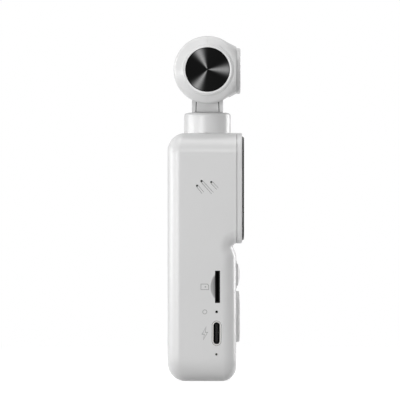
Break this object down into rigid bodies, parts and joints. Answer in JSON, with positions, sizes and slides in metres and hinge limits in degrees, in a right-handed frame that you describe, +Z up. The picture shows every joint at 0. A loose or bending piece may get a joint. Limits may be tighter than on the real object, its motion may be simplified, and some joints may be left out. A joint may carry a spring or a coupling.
{
  "type": "pocket gimbal camera",
  "caption": "Slim white hand grip with a screen, joystick and rocker key, topped by a motorised pan, roll and tilt head that carries a small camera.",
  "frame": {"origin": "centre of the tripod thread's mouth in the grip's base face, on the pan axis", "axes": "+Z up the grip along the pan axis, +X towards the screen side, -Y towards the side with the card slot and charging socket"},
  "size_m": [0.028, 0.03, 0.1267],
  "materials": {
    "shell": "moulded white plastic, satin",
    "controls": "moulded white plastic, satin",
    "screen_glass": "black-backed cover glass, polished",
    "display": "unlit display panel",
    "chassis": "glass-filled plastic, matte",
    "screw_steel": "zinc-plated steel",
    "battery_wrap": "shrink-wrapped cell",
    "circuit_board": "solder mask",
    "shield_can": "tinned steel",
    "black_plastic": "black moulded plastic",
    "brass": "turned brass",
    "motor_iron": "laminated steel",
    "windings": "enamelled copper",
    "bearing_steel": "ground steel",
    "rotor_metal": "turned aluminium",
    "black_spun_metal": "spin-finished, anodised black",
    "bright_ring": "diamond-cut bright edge",
    "lens_plate": "black glossy plate",
    "lens_glass": "coated optical glass"
  },
  "bodies": {
    "grip": {"main_shell": "shell", "screen_frame": "shell", "screen_glass": "screen_glass", "display_panel": "display", "chassis": "chassis", "board_screws": "screw_steel", "battery": "battery_wrap", "main_board": "circuit_board", "board_shield": "shield_can", "card_socket": "shield_can", "usb_socket": "shield_can", "reset_switch": "black_plastic", "microphones": "shield_can", "speaker": "black_plastic", "tripod_insert": "brass", "joystick_ring": "controls", "joystick_base": "chassis", "button_surround": "controls", "key_switches": "shield_can", "button_board": "circuit_board", "pan_collar": "shell", "pan_stator": "motor_iron", "pan_windings": "windings", "pan_bearings": "bearing_steel"},
    "reset_plunger": {"reset_plunger": "black_plastic"},
    "joystick_yoke": {"joystick_yoke": "black_plastic"},
    "joystick_stem": {"joystick_stem": "motor_iron"},
    "joystick_cap": {"joystick_cap": "controls"},
    "rocker_key": {"rocker_key": "controls"},
    "pan_arm": {"pan_rotor": "rotor_metal", "pan_arm": "shell", "neck_panel": "shell", "roll_stator": "motor_iron", "roll_windings": "windings", "roll_bearings": "bearing_steel"},
    "roll_arm": {"roll_rotor": "rotor_metal", "roll_arm": "shell", "roll_cover": "shell", "roll_bezel": "shell", "roll_trim_ring": "bright_ring", "roll_cap": "black_spun_metal", "roll_screws": "screw_steel", "tilt_cap": "shell", "tilt_cap_disc": "black_spun_metal", "tilt_stator": "motor_iron", "tilt_windings": "windings", "tilt_bearings": "bearing_steel"},
    "camera": {"tilt_rotor": "rotor_metal", "camera_front_shell": "shell", "camera_rear_shell": "shell", "lens_plate": "lens_plate", "lens_ring": "bright_ring", "lens_barrel": "black_plastic", "lens_elements": "lens_glass", "image_sensor": "black_plastic", "sensor_board": "circuit_board"}
  },
  "joints": [
    {"name": "pan", "type": "hinge", "parent": "grip", "child": "pan_arm", "pos_m": [0, 0, 0.1143], "axis": [0, 0, 1], "range_deg": [-150, 150]},
    {"name": "roll", "type": "hinge", "parent": "pan_arm", "child": "roll_arm", "pos_m": [0, 0, 0.1143], "axis": [0, 1, 0], "range_deg": [-20, 20]},
    {"name": "tilt", "type": "hinge", "parent": "roll_arm", "child": "camera", "pos_m": [0, 0.0045, 0.1143], "axis": [1, 0, 0], "range_deg": [-90, 60]},
    {"name": "joystick_up_down", "type": "hinge", "parent": "grip", "child": "joystick_yoke", "pos_m": [0.0069, 0, 0.039], "axis": [0, 1, 0], "range_deg": [-3.5, 3.5], "stiffness_Nm_per_rad": 0.02},
    {"name": "joystick_left_right", "type": "hinge", "parent": "joystick_yoke", "child": "joystick_stem", "pos_m": [0.0069, 0, 0.039], "axis": [0, 0, 1], "range_deg": [-3.5, 3.5], "stiffness_Nm_per_rad": 0.02},
    {"name": "joystick_press", "type": "slide", "parent": "joystick_stem", "child": "joystick_cap", "axis": [-1, 0, 0], "range_m": [0, 0.00025], "stiffness_N_per_m": 2000},
    {"name": "rocker_key_tilt", "type": "hinge", "parent": "grip", "child": "rocker_key", "pos_m": [0.0093, 0, 0.02305], "axis": [0, 1, 0], "range_deg": [-1.8, 1.8], "stiffness_Nm_per_rad": 0.04},
    {"name": "reset_press", "type": "slide", "parent": "grip", "child": "reset_plunger", "axis": [0, 1, 0], "range_m": [0, 0.00025], "stiffness_N_per_m": 2000}
  ]
}
